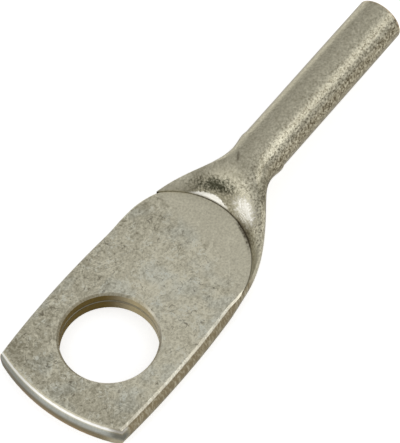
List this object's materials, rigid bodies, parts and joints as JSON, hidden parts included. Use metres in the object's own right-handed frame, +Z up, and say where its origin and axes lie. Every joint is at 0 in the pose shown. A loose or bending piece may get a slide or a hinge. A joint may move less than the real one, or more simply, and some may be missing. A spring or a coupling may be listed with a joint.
{
  "type": "cable lug",
  "caption": "Long-barrel tinned copper cable lug with a flat bowed palm, a stud hole and a pressed transition up to a raised round barrel",
  "frame": {"origin": "on the stud hole's axis, in the palm's underside", "axes": "+Z up, along the stud hole and out of the palm's top; +X along the barrel toward the cable; +Y across the palm"},
  "size_m": [0.072, 0.0212, 0.0099],
  "materials": {
    "tinned_copper": "dull warm grey tin plating over copper, mottled and lightly scratched"
  },
  "bodies": {
    "root": {"cable_lug": "tinned_copper"}
  },
  "joints": []
}
